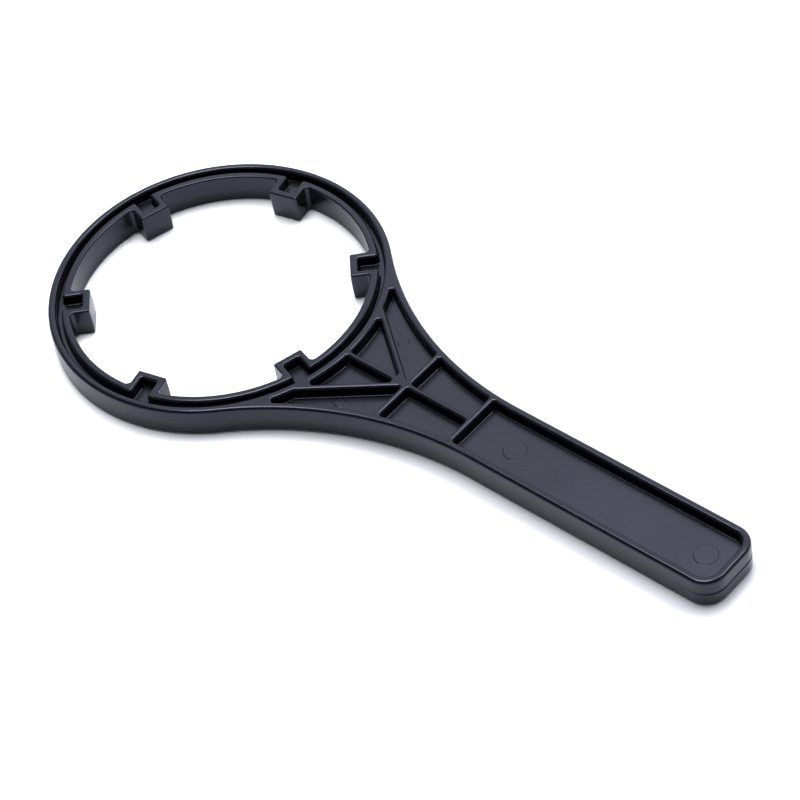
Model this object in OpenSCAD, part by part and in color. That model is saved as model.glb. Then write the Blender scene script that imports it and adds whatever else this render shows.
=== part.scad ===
// Filter housing wrench: a lugged ring on a ribbed handle, moulded in one piece.
// The ring's centre is the origin, the handle runs along +X, and the wrench lies on z = 0.
// Both faces are alike: rims, ribs and lugs stand up from, and hang below, a thin web at half height.

/* [Ring] */
// Inside diameter of the ring, between the lugs
ring_id = 105.6; // [80:0.2:140]
// Thickness of the ring's inner wall
inner_wall = 2.8; // [1.6:0.1:4]
// Width of the groove between the ring's two walls
groove_w = 2; // [1.5:0.1:5]
// Thickness of the ring's outer wall
outer_wall = 2.9; // [1.6:0.1:4]

/* [Lugs] */
// Number of lugs
lug_count = 6; // [3:1:8]
// How far a lug stands in from the ring's inside
lug_reach = 7.3; // [5:0.1:12]
// Width across a lug
lug_w = 11.2; // [8:0.1:14]
// Thickness of a lug's two side walls
lug_side_wall = 2.6; // [1.2:0.1:3]
// Thickness of a lug's tip wall
lug_tip_wall = 2.9; // [1.5:0.1:4]
// Radius of the fillets where a lug meets the ring
lug_root_r = 1.5; // [0.5:0.1:3]
// Angle from the handle's centre line to the first lug
lug_turn = 43.6; // [0:0.1:60]

/* [Handle] */
// Length from the ring's outside to the handle's end
handle_l = 160; // [130:1:220]
// Width of the handle
handle_w = 26.5; // [20:0.5:36]
// Thickness of the rim wall along the neck and round the handle
rim_wall = 3; // [1.5:0.1:4]
// Outside radius of the handle's end corners
handle_corner_r = 8; // [4.5:0.5:9]
// Radius of the hollow curve between the ring and the handle
neck_r = 124; // [80:1:160]

/* [Ribs] */
// Thickness of the ribs
rib_t = 2.2; // [1.2:0.1:3.5]
// Distance from the ring's outside to the middle of the near cross rib
near_rib_gap = 25.8; // [22:0.2:34]
// Distance between the middles of the two cross ribs
rib_pitch = 27.5; // [20:0.5:45]
// Angle between a brace and the handle's centre line
brace_angle = 36.5; // [30:0.5:42]
// Width at which a narrowing pocket stops
pocket_tip_w = 1.4; // [1:0.1:4]

/* [Section] */
// Thickness of the whole wrench
body_h = 11; // [8:0.5:16]
// Thickness of the web between the two faces
web_t = 3.2; // [1:0.1:4]

/* [Hidden] */
$fn = 96;
// Ring radii, from the inside out
ring_ir = ring_id / 2;
groove_ir = ring_ir + inner_wall;
groove_or = groove_ir + groove_w;
ring_or = groove_or + outer_wall;
// Lugs
lug_tip_r = ring_ir - lug_reach;
lug_pocket_w = lug_w - 2 * lug_side_wall;
// Centre of the neck curve, which touches the ring and runs on into the handle's side
neck_reach = ring_or + neck_r;
neck_y = handle_w / 2 + neck_r;
neck_x = sqrt(pow(neck_reach, 2) - pow(neck_y, 2));
neck_angle = atan2(neck_y, neck_x);
// Ribs
handle_end = ring_or + handle_l;
near_rib_x = ring_or + near_rib_gap;
far_rib_x = near_rib_x + rib_pitch;
// The braces start from the near cross rib's face towards the ring
brace_x = near_rib_x - rib_t / 2;
brace_offset = brace_x * sin(brace_angle);
brace_end_r = ring_or - outer_wall / 2;
brace_l = brace_x * cos(brace_angle) - sqrt(pow(brace_end_r, 2) - pow(brace_offset, 2));
// A pocket's narrow end lies where a circle of this radius still fits between its walls
pocket_tip_r = pocket_tip_w / 2;
tip_r = ring_or + pocket_tip_r;
shoulder_tip_angle = neck_angle - corner_angle(neck_reach, tip_r, neck_r + rim_wall + pocket_tip_r);
brace_tip_angle = 90 - brace_angle - acos((brace_offset - rib_t / 2 - pocket_tip_r) / tip_r);
// Depth of the pockets on each face, and how far their cutters run past it
pocket_h = (body_h - web_t) / 2;
overshoot = 1;

// Angle of a triangle between its sides a and b, opposite its side c
function corner_angle(a, b, c) = acos((a * a + b * b - c * c) / (2 * a * b));

// Point at a radius and an angle from the ring's centre
function polar(r, angle) = r * [cos(angle), sin(angle)];

module on_both_sides() {
    children();
    mirror([0, 1]) children();
}

module at_each_lug() {
    for (i = [0 : lug_count - 1])
        rotate(lug_turn + i * 360 / lug_count) children();
}

// Plan of the neck and the handle, with their sides and end moved in by a wall
module handle_plan(wall) {
    half_w = handle_w / 2 - wall;
    end_x = handle_end - wall;
    corner_r = handle_corner_r - wall;
    side = [[neck_x, neck_y], [neck_x, half_w], [end_x, half_w]];
    other_side = [[end_x, -half_w], [neck_x, -half_w], [neck_x, -neck_y]];
    difference() {
        polygon(concat([[0, 0]], side, other_side));
        on_both_sides() {
            translate([neck_x, neck_y]) circle(neck_r + wall);
            translate([end_x - corner_r, half_w - corner_r]) difference() {
                square(corner_r + overshoot);
                circle(corner_r);
            }
        }
    }
}

// Plan of one lug along +X, rooted in the ring's inner wall
module lug_plan() {
    half_w = lug_w / 2;
    fillet_x = sqrt(pow(ring_ir - lug_root_r, 2) - pow(half_w + lug_root_r, 2));
    translate([lug_tip_r, -half_w]) square([groove_ir - lug_tip_r - inner_wall / 2, lug_w]);
    on_both_sides() difference() {
        translate([fillet_x, 0]) square([ring_ir - fillet_x, half_w + lug_root_r]);
        translate([fillet_x, half_w + lug_root_r]) circle(lug_root_r);
    }
}

// Plan of the ring's groove, which runs into the hollow lugs
module groove_plan() {
    difference() {
        circle(groove_or);
        circle(groove_ir);
    }
    at_each_lug()
        translate([lug_tip_r + lug_tip_wall, -lug_pocket_w / 2])
            square([groove_ir + groove_w / 2 - lug_tip_r - lug_tip_wall, lug_pocket_w]);
}

// Plan of the ribs that stiffen the neck: a spine, two cross ribs and two braces
module rib_plan() {
    translate([ring_or - outer_wall, -rib_t / 2]) square([far_rib_x - ring_or + outer_wall, rib_t]);
    for (x = [near_rib_x, far_rib_x])
        translate([x - rib_t / 2, -ring_or]) square([rib_t, 2 * ring_or]);
    on_both_sides()
        translate([brace_x, 0]) rotate(180 - brace_angle)
            translate([0, -rib_t / 2]) square([brace_l, rib_t]);
}

// Plan of the solid ends where the pockets narrow beside the ring
module tip_plan() {
    brace_end_angle = 90 - brace_angle - acos(brace_offset / brace_end_r);
    brace_tip_r = brace_offset / cos(90 - brace_angle - brace_tip_angle);
    on_both_sides() {
        polygon([[0, 0], polar(neck_reach, shoulder_tip_angle), polar(neck_reach, neck_angle)]);
        polygon([[0, 0], polar(brace_tip_r, brace_tip_angle), polar(brace_end_r, brace_end_angle)]);
    }
}

// Plan of the pockets in the neck and the handle
module handle_pocket_plan() {
    difference() {
        handle_plan(rim_wall);
        circle(ring_or);
        rib_plan();
        tip_plan();
    }
}

// Outside of the wrench, before its pockets are cut
module blank() {
    difference() {
        union() {
            cylinder(h = body_h, r = ring_or);
            linear_extrude(body_h) handle_plan(0);
        }
        translate([0, 0, -overshoot]) cylinder(h = body_h + 2 * overshoot, r = ring_ir);
    }
    linear_extrude(body_h) at_each_lug() lug_plan();
}

// Cutter for the pockets of the upper face
module pockets() {
    translate([0, 0, body_h - pocket_h])
        linear_extrude(pocket_h + overshoot) {
            groove_plan();
            handle_pocket_plan();
        }
}

module wrench() {
    color([0.09, 0.09, 0.1])
        difference() {
            blank();
            pockets();
            translate([0, 0, body_h]) mirror([0, 0, 1]) pockets();
        }
}

wrench();
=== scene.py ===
"""Looks of a filter housing wrench: one black moulding on a white floor, under a soft overhead light.

Lengths are in metres. The outlines of the moulding are read from the frame's own solid, and this script
gives them what a mould leaves behind: rounded rims, fillets, draft, a parting line and pin marks."""

import math
from collections import namedtuple

import bmesh
import bpy
import numpy as np
from mathutils import Matrix, Vector, geometry


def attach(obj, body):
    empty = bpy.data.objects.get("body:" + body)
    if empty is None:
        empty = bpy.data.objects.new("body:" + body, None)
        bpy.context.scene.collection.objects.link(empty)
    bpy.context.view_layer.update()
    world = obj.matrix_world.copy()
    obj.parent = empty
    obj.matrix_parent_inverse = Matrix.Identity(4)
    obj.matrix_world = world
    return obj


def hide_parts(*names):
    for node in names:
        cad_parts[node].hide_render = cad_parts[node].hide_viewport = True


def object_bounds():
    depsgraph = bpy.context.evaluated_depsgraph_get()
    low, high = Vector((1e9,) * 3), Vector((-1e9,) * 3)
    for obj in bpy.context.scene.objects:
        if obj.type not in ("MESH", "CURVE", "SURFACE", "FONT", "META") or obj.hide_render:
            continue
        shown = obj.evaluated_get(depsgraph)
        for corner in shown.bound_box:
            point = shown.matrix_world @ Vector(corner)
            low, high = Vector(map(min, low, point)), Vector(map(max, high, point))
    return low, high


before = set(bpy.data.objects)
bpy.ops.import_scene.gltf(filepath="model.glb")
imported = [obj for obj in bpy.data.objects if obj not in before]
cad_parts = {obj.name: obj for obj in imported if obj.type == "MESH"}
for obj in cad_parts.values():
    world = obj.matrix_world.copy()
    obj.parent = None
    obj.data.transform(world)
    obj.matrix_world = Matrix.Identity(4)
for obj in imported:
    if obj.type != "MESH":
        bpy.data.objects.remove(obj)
cad_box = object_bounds()

MM = 0.001

# Edges of the moulding
RIM_ROUND = 1.2 * MM
BORE_ROUND = 0.6 * MM
POCKET_ROUND = 1.0 * MM
FLOOR_FILLET = 0.5 * MM
WALL_DRAFT = 0.1 * MM
POCKET_DRAFT = 0.1 * MM
ROUND_STEPS = 6

# Parting line, which is deepest round the handle's end
PARTING_HALF_WIDTH = 0.7 * MM
PARTING_DEPTH = 0.03 * MM
PARTING_END_DEPTH = 0.34 * MM
PARTING_END_REACH = 20 * MM
PARTING_STEPS = 5

# Marks of the ejector pins: distance along the handle, distance across it, diameter
PIN_MARKS = (
    (70.2 * MM, 16.3 * MM, 4 * MM),
    (70.2 * MM, -16.3 * MM, 4 * MM),
    (132.2 * MM, 0, 8 * MM),
    (208.7 * MM, 0, 8 * MM),
)
PIN_MARK_HEIGHT = 0.2 * MM
PIN_MARK_ROUND = 0.18 * MM
PIN_MARK_FOOT = PIN_MARK_ROUND / 4
PIN_MARK_LOWEST = 20
PIN_MARK_STEPS = 4

# How the outlines are read from the solid
WELD = 0.001 * MM
SAME_AREA = 0.001
ON_ARC = 0.004 * MM
EVEN_STEPS = 1.5
STRAIGHT_TURN = math.radians(0.05)
SMOOTH_TURN = math.radians(40)

# How the outlines are refined: arcs, steps and corners
ARC_ERROR = 0.005 * MM
LONGEST_STEP = 5 * MM
TINY_STEP = 0.06 * MM
CORNER_TURN = math.radians(20)
CORNER_STEP = math.radians(13)
CORNER_SPARE = 0.12 * MM
CORNER_ROOM_USED = 0.95

# Colours of the black plastic
PLASTIC_DARK = (0.0030, 0.0032, 0.0046, 1)
PLASTIC_PALE = (0.0042, 0.0045, 0.0065, 1)
PLASTIC_RUBBED = (0.030, 0.031, 0.038, 1)
PLASTIC_TINT = (0.73, 0.75, 1.0, 1)
PLASTIC_IOR = 1.5
RUBBED_SHARE = 0.3

# Patterns in the plastic: the size of their features, and the part of the noise that counts
CLOUD_SIZE = 14 * MM
GRAIN_SIZE = 0.45 * MM
GRAIN_DETAIL = 3.0
RUB_SIZE = 3 * MM
RUB_SPAN = (0.4, 0.7)
NOISE_SPAN = (0.3, 0.7)
STREAK_SIZE = 0.8 * MM
STREAK_SCALE = (0.02, 0.02, 1)
STREAK_SHARE = 3

# Gloss and relief of the plastic, on its smooth walls and on its grained floors
SMOOTH_ROUGHNESS = 0.17
GRAIN_ROUGHNESS = 0.25
CLOUD_ROUGHNESS = 0.04
FLECK_ROUGHNESS = 0.02
SMOOTH_RELIEF = 0.15
GRAIN_RELIEF = 0.4
RELIEF_DEPTH = 0.02 * MM

# Floor, and what the camera sees of it by the handle and by the ring, where it is painted brighter: painted
# light that makes the shadow paler there
FLOOR_PAINT = (0.8, 0.8, 0.8, 1)
FLOOR_SHOWN = (1.12, 1.13, 1.2, 1)
# Painted light: the floor as the camera sees it by the ring, brighter so that the shadow there comes out
# paler
FLOOR_PAINTED_LIGHT_AT_RING = (1.6, 1.61, 1.68, 1)
FLOOR_PAINTED_LIGHT_SPAN = (20 * MM, 90 * MM)
FLOOR_HALF = 8.0
FLOOR_DROP = 0.02 * MM

# Soft boxes overhead: place and size in metres, turn, power in watts
SOFT_BOXES = (
    (Vector((-1.24, 0.84, 6.0)), (2.52, 3.78), math.radians(35), 284),
    (Vector((0.44, 3.12, 6.0)), (5.1, 1.2), 0, 116),
)

# A room that is brightest on the far left, with a little light from low down
ROOM_SIDE = Vector((-0.41, 0.91, 0))
ROOM_SIDE_SPAN = (-0.1, 0.75)
ROOM_SIDE_POWER = 2
ROOM_COLOUR = (0.88, 0.92, 1.0, 1)
ROOM_DARK = 0.05
ROOM_BRIGHT = 1.95
ROOM_RISE_SPAN = (0.2, 0.62)
ROOM_RISE_START = 0.25
ROOM_LOW = 0.2
ROOM_LOW_SPAN = (0.3, 0.6)
BACKDROP = (1, 1, 1, 1)

# Camera
CAMERA_AZIMUTH = math.radians(49.21)
CAMERA_ELEVATION = math.radians(46.74)
CAMERA_ROLL = math.radians(-11.43)
CAMERA_PLACE = Vector((580.6 * MM, -430.74 * MM, 701.04 * MM))
CAMERA_LENS = 129.87
CAMERA_SENSOR = 36
CAMERA_REACH = 100

# Places of a mix node's sockets when it mixes colours
MIX_SHARE = 0
MIX_A = 6
MIX_B = 7
MIX_RESULT = 2

# Walls of a hollow: its outline, the number of outlines round it, and the point numbers of its four rows
Hollow = namedtuple("Hollow", "outline depth top upper lower bottom")


def turns(points):
    """Angle by which a closed outline turns at each of its points, positive to the left."""
    ahead = np.roll(points, -1, axis=0) - points
    behind = points - np.roll(points, 1, axis=0)
    cross = behind[:, 0] * ahead[:, 1] - behind[:, 1] * ahead[:, 0]
    dot = (behind * ahead).sum(axis=1)
    return np.arctan2(cross, dot)


def area(points):
    """Area inside a closed outline, negative if the outline runs clockwise."""
    ahead = np.roll(points, -1, axis=0)
    return 0.5 * (points[:, 0] * ahead[:, 1] - points[:, 1] * ahead[:, 0]).sum()


def is_inside(point, points):
    """True if a point lies inside a closed outline."""
    ahead = np.roll(points, -1, axis=0)
    spans = (points[:, 1] > point[1]) != (ahead[:, 1] > point[1])
    start, end = points[spans], ahead[spans]
    share = (point[1] - start[:, 1]) / (end[:, 1] - start[:, 1])
    crossings = start[:, 0] + share * (end[:, 0] - start[:, 0])
    return (crossings > point[0]).sum() % 2 == 1


def cut_outlines(node, height):
    """Closed outlines where a level plane cuts a solid."""
    bm = bmesh.new()
    bm.from_mesh(node.data)
    bmesh.ops.remove_doubles(bm, verts=bm.verts, dist=WELD)
    bmesh.ops.bisect_plane(
        bm,
        geom=bm.verts[:] + bm.edges[:] + bm.faces[:],
        plane_co=(0, 0, height),
        plane_no=(0, 0, 1),
        clear_inner=True,
        clear_outer=True,
    )
    outlines = []
    seen = set()
    for first in bm.verts:
        if first in seen:
            continue
        points = []
        vert = first
        while vert and vert not in seen:
            seen.add(vert)
            points.append((vert.co.x, vert.co.y))
            ends = [edge.other_vert(vert) for edge in vert.link_edges]
            vert = next((end for end in ends if end not in seen), None)
        outlines.append(np.array(points))
    bm.free()
    return outlines


def nested(outlines):
    """The outlines with the solid on their left, each with the number of outlines round it."""
    depths = [sum(is_inside(a[0], b) for b in outlines if b is not a) for a in outlines]
    return [
        (outline if (area(outline) > 0) == (depth % 2 == 0) else outline[::-1], depth)
        for outline, depth in zip(outlines, depths)
    ]


def straighten(points):
    """The outline without the points along its straight stretches."""
    return points[np.abs(turns(points)) > STRAIGHT_TURN]


def without_tiny_steps(points):
    """The outline without the points that all but touch the next one."""
    steps = np.linalg.norm(np.roll(points, -1, axis=0) - points, axis=1)
    return points[steps > TINY_STEP]


def circle_centre(a, b, c):
    """Centre of the circle through three points."""
    rows = 2 * np.array([b - a, c - a])
    squares = np.array([b @ b - a @ a, c @ c - a @ a])
    return np.linalg.solve(rows, squares)


def arc_step(radius):
    """Angle of the longest step that still follows an arc closely."""
    return 2 * math.acos(1 - ARC_ERROR / radius)


def arc_between(start, end, centre):
    """Points between two ends along the shorter arc round a centre, without the ends."""
    a, b = start - centre, end - centre
    radius = np.linalg.norm(a)
    sweep = math.atan2(a[0] * b[1] - a[1] * b[0], a @ b)
    steps = math.ceil(abs(sweep) / arc_step(radius))
    angles = math.atan2(a[1], a[0]) + sweep * np.arange(1, steps) / steps
    return [centre + radius * np.array((math.cos(t), math.sin(t))) for t in angles]


def follow_arcs(points):
    """The outline with more points along its round stretches, each on the arc's own circle."""
    count = len(points)
    bends = np.abs(turns(points))
    centres = {}
    for i in range(count):
        # Four even points on one circle make three steps of an arc
        run = [(i + k) % count for k in range(4)]
        if max(bends[run[1]], bends[run[2]]) > SMOOTH_TURN:
            continue
        centre = circle_centre(*points[run[:3]])
        radii = np.linalg.norm(points[run] - centre, axis=1)
        steps = np.linalg.norm(np.diff(points[run], axis=0), axis=1)
        if np.ptp(radii) < ON_ARC and steps.max() < EVEN_STEPS * steps.min():
            centres.update((k, centre) for k in run[:3])
    dense = []
    for i in range(count):
        dense.append(points[i])
        if i in centres:
            dense += arc_between(points[i], points[(i + 1) % count], centres[i])
    return np.array(dense)


def round_corners(points, edge_round, foot_round):
    """The outline with a small arc in place of each sharp corner.

    The first radius is for corners where the solid juts out, the second for those where it is hollow."""
    ahead = np.roll(points, -1, axis=0) - points
    lengths = np.linalg.norm(ahead, axis=1)
    places = np.concatenate(([0], np.cumsum(lengths)[:-1]))
    total = lengths.sum()
    bends = turns(points)
    corners = np.flatnonzero(np.abs(bends) > CORNER_TURN)
    if len(corners) == 0:
        return points

    def at(place):
        place %= total
        i = np.searchsorted(places, place, side="right") - 1
        return points[i] + ahead[i] * (place - places[i]) / lengths[i], ahead[i] / lengths[i]

    keep = np.ones(len(points), bool)
    placed = []
    for corner in corners:
        bend = abs(bends[corner])
        apart = np.abs(places[corners] - places[corner])
        apart = np.minimum(apart, total - apart)
        room = apart[apart > 0].min() / 2 if len(corners) > 1 else total / 4
        radius = edge_round if bends[corner] > 0 else foot_round
        reach = min(radius * math.tan(bend / 2), CORNER_ROOM_USED * room)
        # Length of the handles that make a cubic curve follow an arc
        handle = 4 / 3 * math.tan(bend / 4) * reach / math.tan(bend / 2)
        from_corner = np.abs((places - places[corner] + total / 2) % total - total / 2)
        keep &= from_corner >= reach
        start, way_in = at(places[corner] - reach)
        end, way_out = at(places[corner] + reach)
        steps = math.ceil(bend / CORNER_STEP)
        for t in np.arange(steps + 1) / steps:
            curve = (
                (1 - t) ** 3 * start
                + 3 * t * (1 - t) ** 2 * (start + handle * way_in)
                + 3 * t * t * (1 - t) * (end - handle * way_out)
                + t ** 3 * end
            )
            placed.append(((places[corner] + (2 * t - 1) * reach) % total, curve))
    placed += [(places[i], points[i]) for i in np.flatnonzero(keep)]
    placed.sort(key=lambda item: item[0])
    return np.array([point for _, point in placed])


def split_long(points):
    """The outline with its long steps split, so that no face is far longer than it is wide."""
    dense = []
    for start, end in zip(points, np.roll(points, -1, axis=0)):
        steps = math.ceil(np.linalg.norm(end - start) / LONGEST_STEP)
        dense += [start + (end - start) * k / steps for k in range(steps)]
    return np.array(dense)


def smooth_outline(points, edge_round, foot_round):
    """An outline as moulded: true arcs, and corners with the room that a wall's edge and foot need."""
    arcs = without_tiny_steps(follow_arcs(straighten(points)))
    return split_long(round_corners(arcs, edge_round + CORNER_SPARE, foot_round + CORNER_SPARE))


def circle_outline(x, y, diameter):
    """A circle that runs anticlockwise, as the edge of a disc does."""
    radius = diameter / 2
    steps = math.ceil(2 * math.pi / arc_step(radius))
    angles = 2 * math.pi * np.arange(steps) / steps
    return np.stack((x + radius * np.cos(angles), y + radius * np.sin(angles)), axis=1)


def outward(outline):
    """Directions to the right of an outline at its points, and how much longer each offset is there."""
    steps = np.roll(outline, -1, axis=0) - outline
    steps /= np.linalg.norm(steps, axis=1, keepdims=True)
    step_sides = np.stack((steps[:, 1], -steps[:, 0]), axis=1)
    sides = step_sides + np.roll(step_sides, 1, axis=0)
    sides /= np.linalg.norm(sides, axis=1, keepdims=True)
    mitres = 1 / (sides * step_sides).sum(axis=1)
    return sides, mitres


def add_object(name, data):
    """A new object in the scene."""
    added = bpy.data.objects.new(name, data)
    bpy.context.scene.collection.objects.link(added)
    return added


class Skin:
    """A closed skin in the making.

    A strip runs from the top down along an outline that has the solid on its left. The rows of its profile
    are an offset towards the air, a height, and shares of the parting line, of wear and of grain."""

    def __init__(self):
        self.points = []
        self.normals = []
        self.wear = []
        self.grain = []
        self.faces = []

    def strip(self, outline, profile, parting=0):
        """Sweeps a profile along an outline and gives the point numbers of its first and last rows."""
        sides, mitres = outward(outline)
        offsets, heights, shares, wear, grain = (column[:, None] for column in profile.T)
        offsets = offsets - shares * parting * np.ones(len(outline))
        heights = heights * np.ones(len(outline))
        across = -np.gradient(heights, axis=0)
        along = np.gradient(offsets, axis=0)
        # The first and last rows lie in level faces
        across[[0, -1]] = 0
        slopes = np.hypot(across, along)
        across, along = across / slopes, along / slopes

        base = len(self.points)
        rows, count = offsets.shape
        for k in range(rows):
            places = outline + sides * (mitres * offsets[k])[:, None]
            self.points += [(*place, height) for place, height in zip(places, heights[k])]
            self.normals += [(*side, up) for side, up in zip(sides * across[k][:, None], along[k])]
            self.wear += [float(wear[k, 0])] * count
            self.grain += [float(grain[k, 0])] * count
        numbers = base + np.arange(rows * count).reshape(rows, count)
        beside = np.roll(numbers, -1, axis=1)
        quads = np.stack((numbers[:-1], numbers[1:], beside[1:], beside[:-1]), axis=-1)
        self.faces += quads.reshape(-1, 4).tolist()
        return numbers[0], numbers[-1]

    def flat(self, rows, facing):
        """Fills a level face between rows of points, facing up (1) or down (-1)."""
        numbers = np.concatenate(rows)
        loops = [[Vector(self.points[number]) for number in row] for row in rows]
        faces = numbers[np.array(geometry.tessellate_polygon(loops))]
        corners = np.array(self.points)[faces, :2]
        if sum(area(corner) for corner in corners) * facing < 0:
            faces = faces[:, ::-1]
        self.faces += faces.tolist()

    def piece(self, name):
        """The finished skin as an object, with its smooth normals and its shares of wear and of grain."""
        mesh = bpy.data.meshes.new(name)
        mesh.from_pydata(self.points, [], self.faces)
        mesh.polygons.foreach_set("use_smooth", [True] * len(mesh.polygons))
        mesh.normals_split_custom_set_from_vertices(self.normals)
        for share, values in (("wear", self.wear), ("grain", self.grain)):
            mesh.attributes.new(share, "FLOAT", "POINT").data.foreach_set("value", values)
        return add_object(name, mesh)


def quarter_round(radius, start, end, steps):
    """Cosines and sines, times a radius, of the angles along a rounded edge, given in degrees."""
    angles = np.radians(np.linspace(start, end, steps + 1))
    return radius * np.cos(angles), radius * np.sin(angles)


def level_rows(offsets, heights, parting=0, wear=0, grain=0):
    """Rows of a profile from its offsets, heights and shares."""
    spread = np.ones(len(offsets))
    return np.stack((offsets, heights * spread, parting * spread, wear * spread, grain * spread), axis=1)


def turned_over(profile, height):
    """A profile of the upper face as the lower face has it."""
    other = profile[::-1].copy()
    other[:, 1] = height - other[:, 1]
    return other


def rim_rows(radius, draft, height):
    """Rows of a rim's rounded edge, from its level top down to its wall."""
    out, up = quarter_round(radius, 90, 0, ROUND_STEPS)
    rubbed = np.sin(np.linspace(0, math.pi, len(out)))
    return level_rows(out - radius - draft, up + height - radius, wear=rubbed)


def wall_profile(radius, height):
    """Profile of a wall that goes right through, with draft up and down from its parting line."""
    share = np.linspace(-1, 0, PARTING_STEPS + 1)
    groove = (1 + np.cos(share * math.pi)) / 2
    parting = level_rows(0 * share, height / 2 - share * PARTING_HALF_WIDTH, groove)
    upper = np.concatenate((rim_rows(radius, WALL_DRAFT, height), parting))
    return np.concatenate((upper, turned_over(upper, height)[1:]))


def pocket_profile(height, floor):
    """Profile of a pocket's wall, from the rim down to the fillet at its floor."""
    out, down = quarter_round(FLOOR_FILLET, 180, 270, ROUND_STEPS)
    share = np.linspace(0, 1, len(out))
    fillet = level_rows(out + FLOOR_FILLET + POCKET_DRAFT, down + FLOOR_FILLET + floor, grain=share)
    return np.concatenate((rim_rows(POCKET_ROUND, 0, height), fillet))


def pin_mark_profile(floor):
    """Profile of the low disc that an ejector pin leaves on a floor."""
    out, up = quarter_round(PIN_MARK_ROUND, 90, PIN_MARK_LOWEST, PIN_MARK_STEPS)
    edge = level_rows(out - PIN_MARK_ROUND, up - PIN_MARK_ROUND + floor + PIN_MARK_HEIGHT, grain=1)
    foot = level_rows(np.array((PIN_MARK_FOOT, PIN_MARK_ROUND)), floor, grain=1)
    return np.concatenate((edge, foot))


def parting_depth(outline):
    """Depth of the parting line along an outline."""
    handle_end = cad_box[1].x
    share = np.clip((outline[:, 0] - handle_end) / PARTING_END_REACH + 1, 0, 1)
    ease = share * share * (3 - 2 * share)
    return PARTING_DEPTH + (PARTING_END_DEPTH - PARTING_DEPTH) * ease


def pocket_floor(node, height):
    """Height of the pockets' floors on the upper face, read from the solid's own vertices."""
    levels = {round(vert.co.z / WELD) * WELD for vert in node.data.vertices}
    return min(level for level in levels if height / 2 < level < height - RIM_ROUND)


def add_wall(skin, points, depth, height):
    """The wall round the whole moulding, or round its bore, with its top and bottom rows."""
    radius = RIM_ROUND if depth == 0 else BORE_ROUND
    outline = smooth_outline(points, radius + WALL_DRAFT, BORE_ROUND)
    return skin.strip(outline, wall_profile(radius, height), parting_depth(outline))


def add_hollow(skin, points, depth, height, floor):
    """The walls round a hollow, or round what stands in it, on both faces."""
    outline = smooth_outline(points, POCKET_ROUND, FLOOR_FILLET + POCKET_DRAFT)
    profile = pocket_profile(height, floor)
    top, upper = skin.strip(outline, profile)
    lower, bottom = skin.strip(outline, turned_over(profile, height))
    return Hollow(outline, depth, top, upper, lower, bottom)


def add_pin_marks(skin, outline, floor):
    """Raises the pin marks that lie within a hollow, and gives the rows where they meet its floor."""
    feet = []
    for x, y, diameter in PIN_MARKS:
        if is_inside((x, y), outline):
            edge, foot = skin.strip(circle_outline(x, y, diameter), pin_mark_profile(floor))
            skin.flat([edge], 1)
            feet.append(foot)
    return feet


def add_floors(skin, hollows, floor):
    """The hollows' floors on both faces, round what stands in them, with pin marks on the upper face."""
    for hollow in hollows:
        if hollow.depth % 2 == 0:
            continue
        within = [other for other in hollows if other.depth == hollow.depth + 1]
        islands = [other for other in within if is_inside(other.outline[0], hollow.outline)]
        marks = add_pin_marks(skin, hollow.outline, floor)
        skin.flat([part.upper for part in [hollow] + islands] + marks, 1)
        skin.flat([part.lower for part in [hollow] + islands], -1)


def make_moulding(node):
    """The wrench's whole moulding, from outlines cut through the solid at its web and above it."""
    height = cad_box[1].z
    floor = pocket_floor(node, height)
    web_areas = [abs(area(points)) for points in cut_outlines(node, height / 2)]
    skin = Skin()
    walls = []
    hollow_outlines = []
    for points, depth in nested(cut_outlines(node, (floor + height) / 2)):
        size = abs(area(points))
        if any(math.isclose(size, web_area, rel_tol=SAME_AREA) for web_area in web_areas):
            walls.append(add_wall(skin, points, depth, height))
        else:
            hollow_outlines.append((points, depth))
    hollows = [add_hollow(skin, points, depth, height, floor) for points, depth in hollow_outlines]
    skin.flat([top for top, _ in walls] + [hollow.top for hollow in hollows], 1)
    skin.flat([bottom for _, bottom in walls] + [hollow.bottom for hollow in hollows], -1)
    add_floors(skin, hollows, floor)
    return skin.piece("moulding")


class Nodes:
    """Short calls that add and link the nodes of one node tree."""

    def __init__(self, tree):
        self.tree = tree

    def add(self, kind, inputs=None, **settings):
        """A new node, with its settings, and with its inputs set to a value or linked to a socket."""
        node = self.tree.nodes.new(kind)
        for name, value in settings.items():
            setattr(node, name, value)
        for name, value in (inputs or {}).items():
            if isinstance(value, bpy.types.NodeSocket):
                self.tree.links.new(value, node.inputs[name])
            else:
                node.inputs[name].default_value = value
        return node

    def coords(self, kind):
        """Coordinates of one kind."""
        return self.add("ShaderNodeTexCoord").outputs[kind]

    def along(self, coords, axis):
        """One axis of some coordinates."""
        return self.add("ShaderNodeSeparateXYZ", {"Vector": coords}).outputs[axis]

    def share(self, name):
        """A share that the mesh carries at its points."""
        return self.add("ShaderNodeAttribute", attribute_name=name).outputs["Fac"]

    def noise(self, coords, size, detail=2.0):
        """Noise with features of about a given size."""
        inputs = {"Vector": coords, "Scale": 1 / size, "Detail": detail}
        return self.add("ShaderNodeTexNoise", inputs).outputs["Fac"]

    def spread(self, value, span, to_low=0, to_high=1):
        """A value carried from a span to another range, and kept within it."""
        low, high = span
        inputs = {"Value": value, "From Min": low, "From Max": high, "To Min": to_low, "To Max": to_high}
        return self.add("ShaderNodeMapRange", inputs).outputs["Result"]

    def math(self, operation, a, b):
        """Two values put together."""
        return self.add("ShaderNodeMath", {0: a, 1: b}, operation=operation).outputs["Value"]

    def blend(self, share, a, b):
        """A colour between two colours."""
        inputs = {MIX_SHARE: share, MIX_A: a, MIX_B: b}
        return self.add("ShaderNodeMix", inputs, data_type="RGBA").outputs[MIX_RESULT]


def new_material(name):
    """An empty node material and its nodes."""
    material = bpy.data.materials.new(name)
    material.use_nodes = True
    material.node_tree.nodes.clear()
    return material, Nodes(material.node_tree)


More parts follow.
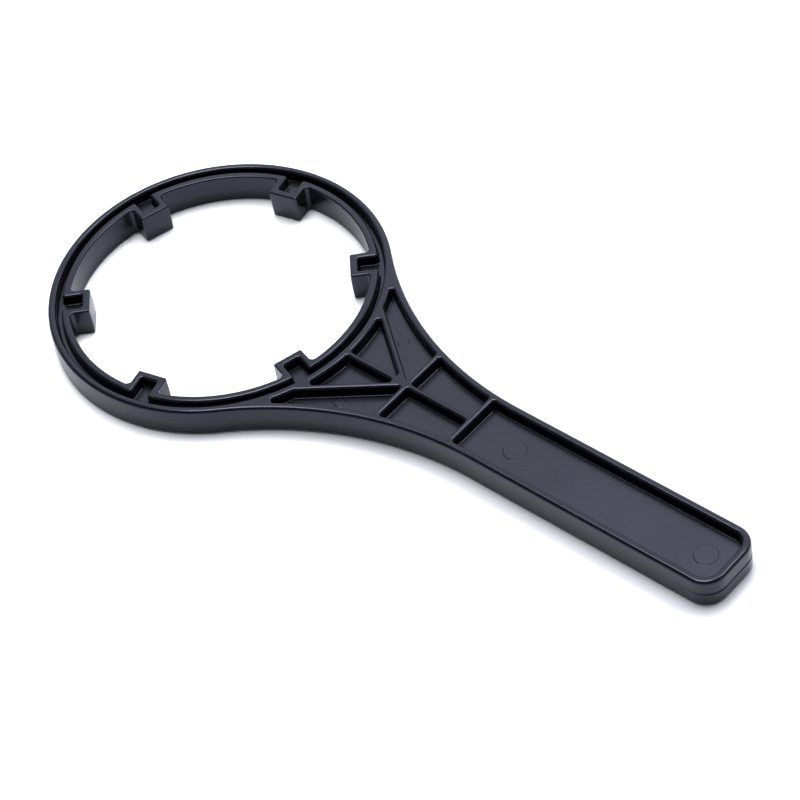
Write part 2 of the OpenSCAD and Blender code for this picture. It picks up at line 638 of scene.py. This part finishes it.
def black_plastic():
    """Black moulded plastic with a fine matt grain, uneven gloss and edges rubbed a little paler."""
    material, nodes = new_material("black_plastic")
    coords = nodes.coords("Object")
    clouds = nodes.noise(coords, CLOUD_SIZE)
    grain = nodes.noise(coords, GRAIN_SIZE, GRAIN_DETAIL)
    matt = nodes.share("grain")

    # Colour, paler where edges are rubbed
    rub = nodes.math("MULTIPLY", nodes.share("wear"), nodes.spread(nodes.noise(coords, RUB_SIZE), RUB_SPAN))
    shade = nodes.blend(clouds, PLASTIC_DARK, PLASTIC_PALE)
    colour = nodes.blend(nodes.math("MULTIPLY", rub, RUBBED_SHARE), shade, PLASTIC_RUBBED)

    # Gloss, uneven in clouds and in flecks
    finish = nodes.spread(matt, (0, 1), SMOOTH_ROUGHNESS, GRAIN_ROUGHNESS)
    uneven_clouds = nodes.spread(clouds, NOISE_SPAN, 0, CLOUD_ROUGHNESS)
    uneven_flecks = nodes.spread(grain, NOISE_SPAN, -FLECK_ROUGHNESS, FLECK_ROUGHNESS)
    gloss = nodes.math("ADD", finish, nodes.math("ADD", uneven_clouds, uneven_flecks))

    # Relief of grain, and of level streaks along the walls
    stretched = nodes.add("ShaderNodeMapping", {"Vector": coords, "Scale": STREAK_SCALE}).outputs["Vector"]
    streaks = nodes.noise(stretched, STREAK_SIZE)
    relief = nodes.math("ADD", grain, nodes.math("MULTIPLY", streaks, STREAK_SHARE))
    strength = nodes.spread(matt, (0, 1), SMOOTH_RELIEF, GRAIN_RELIEF)
    bump = nodes.add("ShaderNodeBump", {"Height": relief, "Strength": strength, "Distance": RELIEF_DEPTH})

    shader = nodes.add(
        "ShaderNodeBsdfPrincipled",
        {
            "Base Color": colour,
            "Roughness": gloss,
            "Normal": bump.outputs["Normal"],
            "IOR": PLASTIC_IOR,
            "Specular Tint": PLASTIC_TINT,
        },
    )
    nodes.add("ShaderNodeOutputMaterial", {"Surface": shader.outputs["BSDF"]})
    return material


def white_floor():
    """White paint that the camera sees as a white background with the shadow on it, painted brighter
    towards the ring as painted light that makes the shadow there paler.
    """
    material, nodes = new_material("white_floor")
    path = nodes.add("ShaderNodeLightPath").outputs
    # Painted light: towards the ring the camera sees the floor painted brighter, so that the shadow there
    # comes out paler
    along = nodes.along(nodes.coords("Object"), "X")
    shown = nodes.blend(nodes.spread(along, FLOOR_PAINTED_LIGHT_SPAN), FLOOR_PAINTED_LIGHT_AT_RING, FLOOR_SHOWN)
    mirrored = nodes.math("MAXIMUM", path["Is Glossy Ray"], path["Is Transmission Ray"])
    colour = nodes.blend(path["Is Camera Ray"], nodes.blend(mirrored, FLOOR_PAINT, FLOOR_SHOWN), shown)
    paint = nodes.add("ShaderNodeBsdfDiffuse", {"Color": colour})
    nodes.add("ShaderNodeOutputMaterial", {"Surface": paint.outputs["BSDF"]})
    return material


def add_floor():
    """A wide white floor, just under the moulding."""
    mesh = bpy.data.meshes.new("floor")
    corners = [(x * FLOOR_HALF, y * FLOOR_HALF, 0) for x, y in ((-1, -1), (1, -1), (1, 1), (-1, 1))]
    mesh.from_pydata(corners, [], [(0, 1, 2, 3)])
    mesh.materials.append(white_floor())
    floor = add_object("floor", mesh)
    floor.location.z = -FLOOR_DROP


def add_soft_boxes():
    """Soft boxes overhead, which face straight down."""
    for place, size, turn, power in SOFT_BOXES:
        lamp = bpy.data.lights.new("soft_box", "AREA")
        lamp.shape = "RECTANGLE"
        lamp.size, lamp.size_y = size
        lamp.energy = power
        soft_box = add_object("soft_box", lamp)
        soft_box.location = place
        soft_box.rotation_euler.z = turn


def add_room():
    """A room that is pale on the far left and dark behind the camera, which sees it as white."""
    world = bpy.data.worlds.new("room")
    bpy.context.scene.world = world
    world.use_nodes = True
    world.node_tree.nodes.clear()
    nodes = Nodes(world.node_tree)
    coords = nodes.coords("Generated")
    upward = nodes.along(coords, "Z")
    facing = nodes.add("ShaderNodeVectorMath", {0: coords, 1: ROOM_SIDE}, operation="DOT_PRODUCT")
    nearness = nodes.spread(facing.outputs["Value"], ROOM_SIDE_SPAN)
    share = nodes.math("POWER", nearness, ROOM_SIDE_POWER)
    above = nodes.spread(upward, ROOM_RISE_SPAN, ROOM_RISE_START, 1)
    side = nodes.math("MULTIPLY", nodes.spread(share, (0, 1), ROOM_DARK, ROOM_BRIGHT), above)
    level = nodes.math("ADD", side, nodes.spread(upward, ROOM_LOW_SPAN, ROOM_LOW, 0))
    room = nodes.add("ShaderNodeBackground", {"Color": ROOM_COLOUR, "Strength": level})
    backdrop = nodes.add("ShaderNodeBackground", {"Color": BACKDROP, "Strength": 1.0})
    seen = nodes.add("ShaderNodeLightPath").outputs["Is Camera Ray"]
    shown = nodes.add(
        "ShaderNodeMixShader",
        {"Fac": seen, 1: room.outputs["Background"], 2: backdrop.outputs["Background"]},
    )
    nodes.add("ShaderNodeOutputWorld", {"Surface": shown.outputs["Shader"]})


def add_camera():
    """The camera, at the photograph's place and angle."""
    sin_a, cos_a = math.sin(CAMERA_AZIMUTH), math.cos(CAMERA_AZIMUTH)
    sin_e, cos_e = math.sin(CAMERA_ELEVATION), math.cos(CAMERA_ELEVATION)
    back = Vector((sin_a * cos_e, -cos_a * cos_e, sin_e))
    level = Vector((cos_a, sin_a, 0))
    upright = back.cross(level)
    right = math.cos(CAMERA_ROLL) * level + math.sin(CAMERA_ROLL) * upright
    data = bpy.data.cameras.new("camera")
    data.lens = CAMERA_LENS
    data.sensor_width = CAMERA_SENSOR
    data.clip_end = CAMERA_REACH
    camera = add_object("camera", data)
    turn = Matrix((right, back.cross(right), back)).transposed()
    camera.matrix_world = Matrix.Translation(CAMERA_PLACE) @ turn.to_4x4()
    bpy.context.scene.camera = camera


moulding = make_moulding(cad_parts["wrench"])
moulding.data.materials.append(black_plastic())
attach(moulding, "root")
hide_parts("wrench")

add_floor()
add_soft_boxes()
add_room()
add_camera()
bpy.context.scene.view_settings.view_transform = "Standard"
